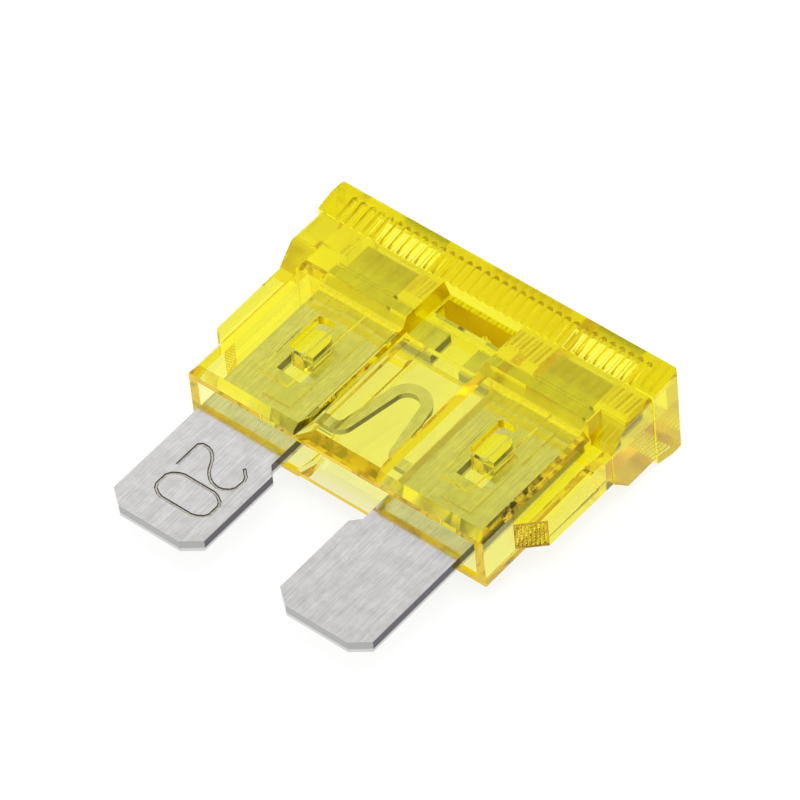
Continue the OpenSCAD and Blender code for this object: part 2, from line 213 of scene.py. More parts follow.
@dataclass(frozen=True)
class ClearPolycarbonate:
    """Transparent polycarbonate, dyed yellow and injection moulded in a polished tool.

    It is as clear as glass, so its colour comes from depth: thin walls are pale lemon, thick corners go
    amber. The surface is glossy, with the faint ripple of the tool's hand polish, and satin on the head and
    shoulders, where the tool is spark eroded for grip. The dye tints the sheen too. The grain is drawn at
    0.09 mm, as coarse as it has to be to show.
    """

    name: str = "clear_polycarbonate"
    ior: float = 1.585
    roughness: float = 0.03
    passed: str = "fefc3f"
    density_per_mm: float = 1.45
    sheen: str = "fffaa0"
    ripple_pitch_mm: tuple[float, float, float] = (1.3, 1.3, 1.3)
    ripple_height_mm: float = 0.0008
    ripple_octaves: float = 1.0
    grain_pitch_mm: tuple[float, float, float] = (0.09, 0.09, 0.09)
    grain_height_mm: float = 0.0004
    grain_octaves: float = 2.0
    satin_roughness: float = 0.14
    satin_blend_mm: float = 0.3
    torn_roughness: float = 0.4
    # painted shade: a darker amber tint on the gate pocket's wall
    painted_gate_shade: str = "d2a83c"

    def build(self, torn: Region, satin_y: float) -> bpy.types.Material:
        """Builds the material.

        Args:
            torn: where the sprue was broken off and the surface is rough; there the tint is also darkened
                to amber as painted shade.
            satin_y: level above which the surface is satin, in metres.

        Returns:
            A refracting surface over a coloured absorbing volume.
        """
        material, tree = new_material(self.name)
        ripple = add_node(
            tree,
            "Bump",
            {"Strength": 1.0, "Distance": self.ripple_height_mm * MM},
            {"Height": stretched_noise(tree, self.ripple_pitch_mm, self.ripple_octaves)},
        )
        grain = add_node(
            tree,
            "Bump",
            {"Strength": 1.0, "Distance": self.grain_height_mm * MM},
            {
                "Height": stretched_noise(tree, self.grain_pitch_mm, self.grain_octaves),
                "Normal": ripple.outputs["Normal"],
            },
        )
        place = add_node(tree, "TexCoord")
        level = add_node(tree, "SeparateXYZ", links={"Vector": place.outputs["Object"]})
        satin = add_node(
            tree,
            "MapRange",
            {
                "From Min": satin_y,
                "From Max": satin_y + self.satin_blend_mm * MM,
                "To Min": self.roughness,
                "To Max": self.satin_roughness,
            },
            {"Value": level.outputs["Y"]},
        )
        torn_and_shaded = torn.factor(tree)
        rough = add_node(
            tree,
            "MapRange",
            {"To Max": self.torn_roughness},
            {"Value": torn_and_shaded, "To Min": satin.outputs["Result"]},
        )
        # painted shade: the gate pocket's wall is tinted darker amber
        colour = add_node(
            tree,
            "MixRGB",
            {1: (1.0, 1.0, 1.0, 1.0), 2: linear(self.painted_gate_shade)},
            {0: torn_and_shaded},
        )
        surface = add_node(
            tree,
            "BsdfPrincipled",
            {
                "Transmission Weight": 1.0,
                "IOR": self.ior,
                "Specular Tint": linear(self.sheen),
            },
            {
                "Base Color": colour.outputs[0],
                "Roughness": rough.outputs["Result"],
                "Normal": grain.outputs["Normal"],
            },
        )
        inside = add_node(
            tree,
            "VolumeAbsorption",
            {"Color": linear(self.passed), "Density": self.density_per_mm / MM},
        )
        add_node(
            tree,
            "OutputMaterial",
            links={"Surface": surface.outputs["BSDF"], "Volume": inside.outputs["Volume"]},
        )
        return material


@dataclass(frozen=True)
class RolledZinc:
    """Bare zinc alloy strip, cold rolled and cut to width, with a satin lengthwise grain and faint handling
    marks.

    The rolled faces are light grey with fine streaks, drawn 0.05 mm apart, as coarse as they have to be to
    show. The edges carry painted shade: a darker band at the top, and pale below, where the metal broke.
    The long edges, which face sideways, get the darkest painted shade.
    """

    name: str = "rolled_zinc"
    bright: str = "eae9e7"
    dull: str = "cccbca"
    # painted shade: the upper band of each sheared edge is darker, and the sideways long edges are darkest
    painted_shade_long_edge: str = "5a565e"
    painted_shade_upper_edge: str = "a9a9a8"
    broken: str = "cdcdcb"
    roughness: float = 0.14
    roughness_spread: float = 0.08
    grain_pitch_mm: float = 0.05
    grain_length_mm: float = 1.6
    grain_height_mm: float = 0.0008
    grain_octaves: float = 3.0
    grain_harshness: float = 0.65
    grain_share: float = 0.6
    blotch_pitch_mm: tuple[float, float, float] = (0.5, 0.5, 0.5)
    blotch_octaves: float = 4.0
    blotch_harshness: float = 0.6
    tone_span: tuple[float, float] = (0.36, 0.64)
    # where the painted edge shade lies: its share of the sheet from the top, and how sideways an edge must
    # face
    upper_shade_share: float = 0.7
    border_share: float = 0.06
    long_edge_facing: tuple[float, float] = (0.8, 0.95)
    face_facing: tuple[float, float] = (0.25, 0.6)

    def build(self, top_z: float, sheet_t: float) -> bpy.types.Material:
        """Builds the material.

        Args:
            top_z: height of the sheet's upper face, in metres.
            sheet_t: thickness of the sheet, in metres.

        Returns:
            A brushed metal with its own look on the sheared edges.
        """
        material, tree = new_material(self.name)
        pitch = (self.grain_pitch_mm, self.grain_length_mm, self.grain_pitch_mm)
        grain = stretched_noise(tree, pitch, self.grain_octaves, self.grain_harshness)
        blotch = stretched_noise(
            tree, self.blotch_pitch_mm, self.blotch_octaves, self.blotch_harshness
        )
        marks = add_node(
            tree, "Math", {"operation": "MULTIPLY", 1: 1 - self.grain_share}, {0: blotch}
        )
        mixed = add_node(
            tree,
            "Math",
            {"operation": "MULTIPLY_ADD", 1: self.grain_share},
            {0: grain, 2: marks.outputs[0]},
        )
        dark, light = self.tone_span
        spread = add_node(
            tree, "MapRange", {"From Min": dark, "From Max": light}, {"Value": mixed.outputs[0]}
        )
        face_colour = add_node(
            tree,
            "MixRGB",
            {1: linear(self.dull), 2: linear(self.bright)},
            {0: spread.outputs[0]},
        )
        colour = self._edge_colour(tree, face_colour.outputs[0], top_z, sheet_t)
        dullness = add_node(
            tree,
            "MapRange",
            {
                "To Min": self.roughness + self.roughness_spread / 2,
                "To Max": self.roughness - self.roughness_spread / 2,
            },
            {"Value": spread.outputs[0]},
        )
        bump = add_node(
            tree,
            "Bump",
            {"Strength": 1.0, "Distance": self.grain_height_mm * MM},
            {"Height": mixed.outputs[0]},
        )
        surface = add_node(
            tree,
            "BsdfPrincipled",
            {"Metallic": 1.0},
            {
                "Base Color": colour,
                "Roughness": dullness.outputs[0],
                "Normal": bump.outputs["Normal"],
            },
        )
        add_node(tree, "OutputMaterial", links={"Surface": surface.outputs["BSDF"]})
        return material

    def _edge_colour(
        self,
        tree: bpy.types.NodeTree,
        face_colour: bpy.types.NodeSocket,
        top_z: float,
        sheet_t: float,
    ) -> bpy.types.NodeSocket:
        """Paints shade on the sheared edges: darker for a share from the top, darkest on the long edges,
        broken below.

        Args:
            tree: the node tree.
            face_colour: colour of the rolled faces.
            top_z: height of the sheet's upper face, in metres.
            sheet_t: thickness of the sheet, in metres.

        Returns:
            The colour for the whole surface.
        """
        place = add_node(tree, "TexCoord")
        height = add_node(tree, "SeparateXYZ", links={"Vector": place.outputs["Object"]})
        border = top_z - self.upper_shade_share * sheet_t
        blend = self.border_share * sheet_t
        below = add_node(
            tree,
            "MapRange",
            {"From Min": border + blend, "From Max": border - blend},
            {"Value": height.outputs["Z"]},
        )
        facing = add_node(tree, "SeparateXYZ", links={"Vector": place.outputs["Normal"]})
        sideways = add_node(tree, "Math", {"operation": "ABSOLUTE"}, {0: facing.outputs["X"]})
        none, full = self.long_edge_facing
        is_long_edge = add_node(
            tree, "MapRange", {"From Min": none, "From Max": full}, {"Value": sideways.outputs[0]}
        )
        # painted shade: a darker upper edge band, darkest where the edge faces sideways
        upper = add_node(
            tree,
            "MixRGB",
            {1: linear(self.painted_shade_upper_edge), 2: linear(self.painted_shade_long_edge)},
            {0: is_long_edge.outputs[0]},
        )
        edge = add_node(
            tree,
            "MixRGB",
            {2: linear(self.broken)},
            {0: below.outputs[0], 1: upper.outputs[0]},
        )
        upright = add_node(
            tree, "Math", {"operation": "ABSOLUTE"}, {0: facing.outputs["Z"]}
        )
        none, full = self.face_facing
        is_face = add_node(
            tree, "MapRange", {"From Min": none, "From Max": full}, {"Value": upright.outputs[0]}
        )
        whole = add_node(
            tree,
            "MixRGB",
            links={0: is_face.outputs[0], 1: edge.outputs[0], 2: face_colour},
        )
        return whole.outputs[0]


@dataclass(frozen=True)
class StampedGroove:
    """The same zinc where a numeral punch has pressed it: a bright floor between walls darkened with
    painted shade.
    """

    name: str = "stamped_groove"
    # painted shade: the groove walls are dark as if in shade, and the floor keeps the metal's pale tone
    walls: str = "4c463e"
    floor: str = "d2ccc0"
    roughness: float = 0.4
    patch_mm: tuple[float, float, float] = (0.15, 0.15, 0.15)
    patch_octaves: float = 2.0
    patch_span: tuple[float, float] = (0.3, 0.7)
    patch_tone: tuple[float, float] = (0.75, 1.2)
    floor_facing: tuple[float, float] = (0.8, 0.95)

    def build(self) -> bpy.types.Material:
        """Builds the material.

        Returns:
            A satin metal, dark on the walls and bright on the floor, with a fine uneven tone.
        """
        material, tree = new_material(self.name)
        tone = add_node(
            tree,
            "MapRange",
            {
                "From Min": self.patch_span[0],
                "From Max": self.patch_span[1],
                "To Min": self.patch_tone[0],
                "To Max": self.patch_tone[1],
            },
            {"Value": stretched_noise(tree, self.patch_mm, self.patch_octaves)},
        )
        place = add_node(tree, "TexCoord")
        facing = add_node(tree, "SeparateXYZ", links={"Vector": place.outputs["Normal"]})
        none, full = self.floor_facing
        is_floor = add_node(
            tree, "MapRange", {"From Min": none, "From Max": full}, {"Value": facing.outputs["Z"]}
        )
        # painted shade on the walls, with the pale floor left as it is
        plain = add_node(
            tree,
            "MixRGB",
            {1: linear(self.walls), 2: linear(self.floor)},
            {0: is_floor.outputs[0]},
        )
        colour = add_node(
            tree,
            "MixRGB",
            {"blend_type": "MULTIPLY", 0: 1.0},
            {1: plain.outputs[0], 2: tone.outputs[0]},
        )
        surface = add_node(
            tree,
            "BsdfPrincipled",
            {"Metallic": 1.0, "Roughness": self.roughness},
            {"Base Color": colour.outputs[0]},
        )
        add_node(tree, "OutputMaterial", links={"Surface": surface.outputs["BSDF"]})
        return material


def mesh_object(name: str, points: np.ndarray, faces: np.ndarray) -> bpy.types.Object:
    """Puts whole arrays of points and faces into a new mesh object at the origin.

    Args:
        name: the object's name.
        points: n by 3 coordinates, in metres.
        faces: m by 3 or m by 4 point numbers, in order round each face.

    Returns:
        The linked object.
    """
    mesh = bpy.data.meshes.new(name)
    sides = faces.shape[1]
    mesh.vertices.add(len(points))
    mesh.vertices.foreach_set("co", points.astype(np.float32).ravel())
    mesh.loops.add(faces.size)
    mesh.loops.foreach_set("vertex_index", faces.astype(np.int32).ravel())
    mesh.polygons.add(len(faces))
    mesh.polygons.foreach_set("loop_start", np.arange(0, faces.size, sides, dtype=np.int32))
    mesh.update(calc_edges=True)
    mesh.validate()
    made = bpy.data.objects.new(name, mesh)
    bpy.context.scene.collection.objects.link(made)
    return made


def swept(path: np.ndarray, profile: np.ndarray, closed: bool) -> tuple[np.ndarray, np.ndarray]:
    """Carries a profile along a path that lies level, and leaves the ends of an open path open.

    At path point p with unit tangent t, the profile point (a, b) lies at p + a * s + b * z, where z points
    up and s is t turned a quarter to the right. At a corner s is lengthened by one over the cosine of half
    the turn, so that the swept walls keep their distance.

    Args:
        path: n by 3 points, all at one height.
        profile: m by 2 points, sideways and upward, in order round the profile.
        closed: whether the last path point joins the first.

    Returns:
        The points and the quadrilateral faces.
    """
    ahead = np.roll(path, -1, axis=0) - path
    behind = path - np.roll(path, 1, axis=0)
    if not closed:
        ahead[-1], behind[0] = behind[-1], ahead[0]
    ahead /= np.linalg.norm(ahead, axis=1, keepdims=True)
    behind /= np.linalg.norm(behind, axis=1, keepdims=True)
    tangent = ahead + behind
    tangent /= np.linalg.norm(tangent, axis=1, keepdims=True)
    stretch = 1 / np.sum(tangent * ahead, axis=1)
    side = np.stack([tangent[:, 1], -tangent[:, 0], np.zeros(len(path))], axis=1)
    side *= stretch[:, None]
    rise = np.array([0.0, 0.0, 1.0])
    points = path[:, None] + profile[None, :, :1] * side[:, None] + profile[None, :, 1:] * rise
    rings, around = len(path), len(profile)
    ring = np.arange(rings if closed else rings - 1)
    here, there = np.meshgrid(ring, np.arange(around), indexing="ij")
    nxt_ring, nxt = (here + 1) % rings, (there + 1) % around
    faces = np.stack(
        [here * around + there, here * around + nxt, nxt_ring * around + nxt, nxt_ring * around + there],
        axis=-1,
    ).reshape(-1, 4)
    return points.reshape(-1, 3), faces


@contextmanager
def edited(mesh: bpy.types.Mesh) -> Iterator[bmesh.types.BMesh]:
    """Opens a mesh for editing and puts the result back.

    Args:
        mesh: the mesh.

    Yields:
        Its editable form.
    """
    work = bmesh.new()
    work.from_mesh(mesh)
    yield work
    work.to_mesh(mesh)
    work.free()


def face_outward(mesh: bpy.types.Mesh) -> None:
    """Turns every face of a closed mesh outwards."""
    with edited(mesh) as work:
        bmesh.ops.recalc_face_normals(work, faces=work.faces)


def join_flat_faces(work: bmesh.types.BMesh, degrees: float) -> None:
    """Joins neighbouring faces into one where they turn by less than the given degrees."""
    turn = math.radians(degrees)
    bmesh.ops.dissolve_limit(work, angle_limit=turn, verts=work.verts, edges=work.edges)


def shade_round_parts(mesh: bpy.types.Mesh, degrees: float = 16.0, strip_mm2: float = 0.3) -> None:
    """Shades only the facets of rounded surfaces smooth, so that flat faces keep their one normal.

    An edge is smooth where it turns less than the angle and both of its faces are as small as a facet.

    Args:
        mesh: the mesh.
        degrees: least turn of a real edge.
        strip_mm2: largest area of a facet.
    """
    with edited(mesh) as work:
        facet = {face for face in work.faces if face.calc_area() < strip_mm2 * MM * MM}
        for face in work.faces:
            face.smooth = True
        for edge in work.edges:
            pair = edge.link_faces
            edge.smooth = (
                len(pair) == 2
                and all(face in facet for face in pair)
                and edge.calc_face_angle(math.pi) < math.radians(degrees)
            )


def welded_copy(node: str, name: str, weld_mm: float = 0.002, flat: float = 0.5) -> bpy.types.Object:
    """Copies a CAD node's mesh into a new object, with its loose triangles joined.

    Args:
        node: the CAD node's name.
        name: the new object's name.
        weld_mm: distance within which points are one.
        flat: greatest turn, in degrees, between triangles that are one face.

    Returns:
        The new object, at the origin.
    """
    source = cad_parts[node]
    mesh = source.data.copy()
    mesh.transform(source.matrix_world)
    mesh.materials.clear()
    with edited(mesh) as work:
        bmesh.ops.remove_doubles(work, verts=work.verts, dist=weld_mm * MM)
        join_flat_faces(work, flat)
    made = bpy.data.objects.new(name, mesh)
    bpy.context.scene.collection.objects.link(made)
    return made


def keep_modified(piece: bpy.types.Object) -> None:
    """Replaces a piece's mesh by what its modifiers make of it, and clears them.

    Args:
        piece: the piece.
    """
    graph = bpy.context.evaluated_depsgraph_get()
    mesh = bpy.data.meshes.new_from_object(piece.evaluated_get(graph))
    piece.modifiers.clear()
    piece.data = mesh


def combine(
    piece: bpy.types.Object,
    tool: bpy.types.Object,
    change: Change,
    solver: Solver,
) -> None:
    """Joins a tool with a piece or cuts it from the piece, and removes the tool.

    Args:
        piece: the piece, which keeps its materials and takes on those of the tool's faces.
        tool: the tool, a closed mesh.
        change: what the tool does.
        solver: how the two are worked together.
    """
    work = piece.modifiers.new(tool.name, "BOOLEAN")
    work.operation = change.value
    work.solver = solver.value
    work.material_mode = "TRANSFER"
    work.object = tool
    keep_modified(piece)
    bpy.data.objects.remove(tool)


def ease_edges(
    piece: bpy.types.Object,
    radius_mm: float,
    angle: float = 40.0,
    segments: int = 2,
    room: float = 3.2,
) -> None:
    """Rounds a piece's sharp edges where there is room for it.

    An edge has room if it and every edge that meets it are a few times longer than the rounding, and it
    runs between plain corners, where three sharp edges meet.

    Args:
        piece: the piece.
        radius_mm: width of the rounding.
        angle: least turn, in degrees, that counts as an edge.
        segments: faces across the rounding.
        room: least length of an edge, in widths of the rounding.
    """
    with edited(piece.data) as work:
        weight = work.edges.layers.float.new("bevel_weight_edge")
        least = room * radius_mm * MM
        sharp = {edge for edge in work.edges if edge.calc_face_angle(0.0) > math.radians(angle)}
        plain = {
            corner
            for corner in work.verts
            if len(corner.link_edges) == 3
            and all(edge in sharp and edge.calc_length() > least for edge in corner.link_edges)
        }
        for edge in sharp:
            edge[weight] = float(all(corner in plain for corner in edge.verts))
        LOG.info("%s: %d edges eased", piece.name, sum(edge[weight] > 0 for edge in work.edges))
    bevel = piece.modifiers.new("eased_edges", "BEVEL")
    bevel.width = radius_mm * MM
    bevel.segments = segments
    bevel.limit_method = "WEIGHT"
    bevel.use_clamp_overlap = False
    bevel.miter_outer = "MITER_SHARP"
    keep_modified(piece)


@dataclass(frozen=True)
class Stroke:
    """The run of one figure's single stroke, in shares of the figure's width and height.

    The figure is drawn in its own frame, u to its right and v up.
    """

    corners: tuple[tuple[float, float], ...]
    closed: bool


class Figure(Enum):
    """The figures of the rating, drawn with straight cuts as a numeral punch has them."""

    NOUGHT = Stroke(
        (
            (0.22, 0.0), (0.78, 0.0), (1.0, 0.17), (1.0, 0.82),
            (0.78, 1.0), (0.22, 1.0), (0.0, 0.82), (0.0, 0.17),
        ),
        True,
    )
    TWO = Stroke(
        (
            (1.0, 0.0), (0.0, 0.0), (0.0, 0.2), (0.22, 0.34), (0.68, 0.46),
            (0.92, 0.6), (1.0, 0.8), (0.78, 0.98), (0.28, 1.0), (0.0, 0.84),
        ),
        False,
    )


@dataclass
class Numeral:
    """One stamped figure and its place on the blade."""

    figure: Figure
    origin_mm: tuple[float, float]
    height_mm: float
    width_mm: float
    ease_mm: float = 0.14

    def path(self) -> np.ndarray:
        """Works out the stroke with each corner cut off short.

        A corner p between neighbours q and r becomes the points p + k (q - p) and p + k (r - p), where k
        brings each one to the easing length from p, or to a third of the way where that is nearer.

        Returns:
            The stroke's points, u and v in millimetres.
        """
        stroke = self.figure.value
        corners = np.array(stroke.corners) * (self.width_mm, self.height_mm)
        eased = []
        for to_side in (1, -1):
            away = np.roll(corners, to_side, axis=0) - corners
            length = np.linalg.norm(away, axis=1, keepdims=True)
            eased.append(corners + away * np.minimum(self.ease_mm / length, 1 / 3))
        points = np.stack(eased, axis=1).reshape(-1, 2)
        if stroke.closed:
            return points
        return np.concatenate([corners[:1], points[2:-2], corners[-1:]])

    def placed(self, z: float) -> np.ndarray:
        """Lays the stroke on the blade: u runs towards the tip, v towards the middle of the fuse.

        Args:
            z: height of the stroke, in metres.

        Returns:
            The stroke's points in the row frame, in metres.
        """
        flat = self.path()
        x = self.origin_mm[0] + flat[:, 1]
        y = self.origin_mm[1] - flat[:, 0]
        return np.stack([x * MM, y * MM, np.full(len(flat), z)], axis=1)


@dataclass
class FuseElement:
    """The stamped element: two blades and the link, with the rating pressed into the left blade."""

    node: str = "fuse_element"
    sheet_mm: float = 0.65
    edge_radius_mm: float = 0.035
    groove_w_mm: float = 0.16
    groove_floor_mm: float = 0.08
    groove_depth_mm: float = 0.045
    groove_over_mm: float = 0.03
    figure_h_mm: float = 3.0
    figure_w_mm: float = 1.54
    figure_foot_mm: float = -5.9
    first_figure_mm: float = 4.8
    figure_step_mm: float = 1.8
    zinc: RolledZinc = field(default_factory=RolledZinc)
    groove: StampedGroove = field(default_factory=StampedGroove)

    def rating(self) -> list[Numeral]:
        """Lays out the stamped figures, with places along Y measured from the blade's tip.

        Returns:
            The two figures of a plain 20.
        """
        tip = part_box(self.node)[0][1] / MM
        return [
            Numeral(
                figure,
                (self.figure_foot_mm, tip + self.first_figure_mm - i * self.figure_step_mm),
                self.figure_h_mm,
                self.figure_w_mm,
            )
            for i, figure in enumerate((Figure.TWO, Figure.NOUGHT))
        ]

    def groove_cutter(self, top_z: float) -> bpy.types.Object:
        """Sweeps a bar with a narrow foot along each figure's stroke, its foot down in the metal.

        Args:
            top_z: height of the blade's upper face, in metres.

        Returns:
            One object with every bar, closed at its ends.
        """
        half, foot = self.groove_w_mm / 2 * MM, self.groove_floor_mm / 2 * MM
        deep, over = self.groove_depth_mm * MM, self.groove_over_mm * MM
        wide = half + (half - foot) * over / deep
        profile = np.array([[-wide, over], [-foot, -deep], [foot, -deep], [wide, over]])
        sides = len(profile)
        first = np.arange(sides)
        points, quads, count = [], [], 0
        for numeral in self.rating():
            closed = numeral.figure.value.closed
            some, faces = swept(numeral.placed(top_z), profile, closed)
            points.append(some)
            quads.append(faces + count)
            if not closed:
                quads.append(count + first[None, ::-1])
                quads.append(count + len(some) - sides + first[None, :])
            count += len(some)
        cutter = mesh_object("numeral_bars", np.concatenate(points), np.concatenate(quads))
        face_outward(cutter.data)
        return cutter

    def build(self) -> bpy.types.Object:
        """Builds and dresses the element.

        Returns:
            The piece that stands for the CAD node.
        """
        top_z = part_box(self.node)[1][2]
        piece = welded_copy(self.node, "stamped_element")
        piece.data.materials.append(self.zinc.build(top_z, self.sheet_mm * MM))
        ease_edges(piece, self.edge_radius_mm)
        cutter = self.groove_cutter(top_z)
        cutter.data.materials.append(self.groove.build())
        combine(piece, cutter, Change.CUT, Solver.EXACT)
        shade_round_parts(piece.data)
        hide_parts(self.node)
        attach(piece, BODY)
        return piece


@dataclass(frozen=True)
class Wave:
    """A wave over a surface of two parameters, turn and climb."""

    size: float
    turns: float
    twist: float = 0.0
    phase: float = 0.0

    def over(self, turn: np.ndarray, climb: np.ndarray) -> np.ndarray:
        """The wave's height: its size times the sine of turns x turn + twist x climb + phase."""
        return self.size * np.sin(self.turns * turn + self.twist * climb + self.phase)


@dataclass
class GateVestige:
    """The torn stub of plastic that is left where the sprue was broken off, on the gate pocket's floor."""

    place_mm: tuple[float, float, float]
    radius_mm: float = 0.4
    height_mm: float = 0.95
    sunk_mm: float = 0.1
    taper: float = 0.86
    crown_share: float = 0.9
    wall_waves: tuple[Wave, Wave] = (Wave(0.2, 3, twist=4), Wave(0.12, 7, twist=-3))
    lip_waves: tuple[Wave, Wave] = (Wave(0.18, 2, phase=1), Wave(0.1, 5))
    rings: int = 10
    around: int = 28

    def build(self) -> bpy.types.Object:
        """Makes the stub as a closed surface of two parameters, turn a and climb t from 0 to 1.

        The radius is R times the cosine of t times the taper's share of a quarter turn, times one plus the
        wall waves. The height is H times t times one plus the lip waves, so that the crown is a slanting,
        ragged lip.

        Returns:
            The stub, a little sunk below its place.
        """
        climb, turn = np.meshgrid(
            np.linspace(0, 1, self.rings),
            np.linspace(0, 2 * np.pi, self.around, endpoint=False),
            indexing="ij",
        )
        wall, fine_wall = (wave.over(turn, climb) for wave in self.wall_waves)
        lip, fine_lip = (wave.over(turn, climb) for wave in self.lip_waves)
        radius = self.radius_mm * np.cos(climb * np.pi / 2 * self.taper) * (1 + wall + fine_wall)
        rise = self.height_mm * climb * (1 + lip + fine_lip)
        ring = np.stack([radius * np.cos(turn), radius * np.sin(turn), rise - self.sunk_mm], axis=-1)
        foot = np.array([[0.0, 0.0, -self.sunk_mm]])
        crown = np.array([[0.0, 0.0, self.height_mm * self.crown_share - self.sunk_mm]])
        points = np.concatenate([ring.reshape(-1, 3), foot, crown]) + self.place_mm
        here, there = np.meshgrid(np.arange(self.rings - 1), np.arange(self.around), indexing="ij")
        after = (there + 1) % self.around
        low, high = here * self.around, (here + 1) * self.around
        walls = np.stack([low + there, low + after, high + after, high + there], axis=-1).reshape(-1, 4)
        triangles = np.concatenate([walls[:, [0, 1, 2]], walls[:, [0, 2, 3]]])
        edge = np.arange(self.around)
        nxt = (edge + 1) % self.around
        base, top = self.rings * self.around, (self.rings - 1) * self.around
        closing = np.concatenate(
            [
                np.stack([nxt, edge, np.full_like(edge, base)], axis=1),
                np.stack([top + edge, top + nxt, np.full_like(edge, base + 1)], axis=1),
            ]
        )
        return mesh_object("torn_stub", points * MM, np.concatenate([triangles, closing]))


@dataclass
class Housing:
    """The moulded housing: the CAD form with the waffled feet and the torn gate of its tool.

    Places along Y are measured from the blade tips, and places along Z from the blades' middle plane.
    """

    node: str = "housing"
    waffle_pitch_mm: float = 0.19
    waffle_depth_mm: float = 0.09
    waffle_border_mm: float = 0.07
    slab_mm: float = 0.2
    proud_mm: float = 0.004
    gate_w_mm: float = 3.6
    gate_wall_mm: tuple[float, float] = (16.56, 16.9)
    gate_rise_mm: tuple[float, float] = (0.15, 2.0)
    stub_mm: tuple[float, float, float] = (0.75, 16.24, 0.195)
    satin_mm: float = 14.9
    plastic: ClearPolycarbonate = field(default_factory=ClearPolycarbonate)

    def torn_wall(self) -> Region:
        """Finds the leaning wall of the gate pocket, which the broken sprue has left matt and which gets a
        painted shade of darker amber.

        Returns:
            The box round that wall.
        """
        middle = between_tips() / MM + (0.0, sum(self.gate_wall_mm) / 2, sum(self.gate_rise_mm) / 2)
        half = (
            self.gate_w_mm / 2,
            (self.gate_wall_mm[1] - self.gate_wall_mm[0]) / 2,
            (self.gate_rise_mm[1] - self.gate_rise_mm[0]) / 2,
        )
        return Region(tuple(float(v) * MM for v in middle), tuple(v * MM for v in half))

    def foot_corners(self, mesh: bpy.types.Mesh, side: int) -> np.ndarray:
        """Finds the slanted foot of one flange, which faces as much outward as towards the blade tips.

        Args:
            mesh: the housing's mesh.
            side: 1 for the right flange, -1 for the left one.

        Returns:
            The lowest and highest corner of the flat face.
        """
        slant = Vector((side, -1.0, 0.0)).normalized()
        alike = 0.999
        facing = [face for face in mesh.polygons if face.normal.dot(slant) > alike]
        foot = max(facing, key=lambda face: face.area)
        points = np.array([mesh.vertices[i].co for i in foot.vertices])
        return np.array([points.min(axis=0), points.max(axis=0)])

    def waffle_cutter(self, low: np.ndarray, high: np.ndarray, side: int) -> bpy.types.Object:
        """Makes a slab with square points on one face, which presses the waffle into a foot.

        The points stand on a grid of two parameters along the foot: the surface lies a hair proud of the
        foot at even lines and the waffle's depth inside it at crossings of odd lines.

        Args:
            low: lowest corner of the foot's flat face.
            high: highest corner of it.
            side: 1 for the right flange, -1 for the left one.

        Returns:
            The closed slab.
        """
        along = np.array([side, 1.0, 0.0]) / math.sqrt(2)
        out = np.array([side, -1.0, 0.0]) / math.sqrt(2)
        middle = (low + high) / 2
        spans = np.array([(high[1] - low[1]) * math.sqrt(2), high[2] - low[2]])
        counts = ((spans - 2 * self.waffle_border_mm * MM) / (self.waffle_pitch_mm * MM)).astype(int)
        lines = [np.arange(2 * n + 1) for n in counts]
        i, j = np.meshgrid(*lines, indexing="ij")
        u = (i - counts[0]) * self.waffle_pitch_mm / 2 * MM
        v = (j - counts[1]) * self.waffle_pitch_mm / 2 * MM
        pressed = (i % 2) * (j % 2)
        proud = self.proud_mm * MM
        depth = proud - pressed * (proud + self.waffle_depth_mm * MM)
        sheet = [
            middle + u[..., None] * along + v[..., None] * (0.0, 0.0, 1.0) + height * out
            for height in (depth[..., None], np.full_like(depth, self.slab_mm * MM)[..., None])
        ]
        points = np.concatenate([layer.reshape(-1, 3) for layer in sheet])
        number = np.arange(i.size).reshape(i.shape)
        cells = np.stack([number[:-1, :-1], number[1:, :-1], number[1:, 1:], number[:-1, 1:]], axis=-1)
        cells = cells.reshape(-1, 4)
        rim = np.concatenate([number[:-1, 0], number[-1, :-1], number[:0:-1, -1], number[0, :0:-1]])
        ahead = np.roll(rim, -1)
        walls = np.stack([rim, ahead, ahead + i.size, rim + i.size], axis=-1)
        quads = np.concatenate([cells[:, ::-1], cells + i.size, walls])
        triangles = np.concatenate([quads[:, [0, 1, 2]], quads[:, [0, 2, 3]]])
        slab = mesh_object("waffle_slab", points, triangles)
        face_outward(slab.data)
        LOG.info("waffle of %d by %d points", *counts)
        return slab

    def reshape(
        self,
        piece: bpy.types.Object,
        tool: bpy.types.Object,
        change: Change,
        flat: float = 0.3,
    ) -> None:
        """Works a tool of the same plastic with the piece, and joins the triangles that this leaves.

        Args:
            piece: the piece.
            tool: the tool, which is used up.
            change: what the tool does.
            flat: greatest turn, in degrees, between triangles that are one face.
        """
        tool.data.materials.append(piece.data.materials[0])
        combine(piece, tool, change, Solver.CLOSED)
        with edited(piece.data) as work:
            join_flat_faces(work, flat)

    def build(self) -> bpy.types.Object:
        """Builds and dresses the housing.

        Returns:
            The piece that stands for the CAD node.
        """
        piece = welded_copy(self.node, "moulded_housing")
        origin_mm = between_tips() / MM
        satin_y = (origin_mm[1] + self.satin_mm) * MM
        piece.data.materials.append(self.plastic.build(self.torn_wall(), satin_y))
        feet = [(side, *self.foot_corners(piece.data, side)) for side in (-1, 1)]
        stub = GateVestige(tuple(origin_mm + self.stub_mm)).build()
        self.reshape(piece, stub, Change.JOIN)
        for side, low, high in feet:
            self.reshape(piece, self.waffle_cutter(low, high, side), Change.CUT)
        shade_round_parts(piece.data)
        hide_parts(self.node)
        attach(piece, BODY)
        return piece


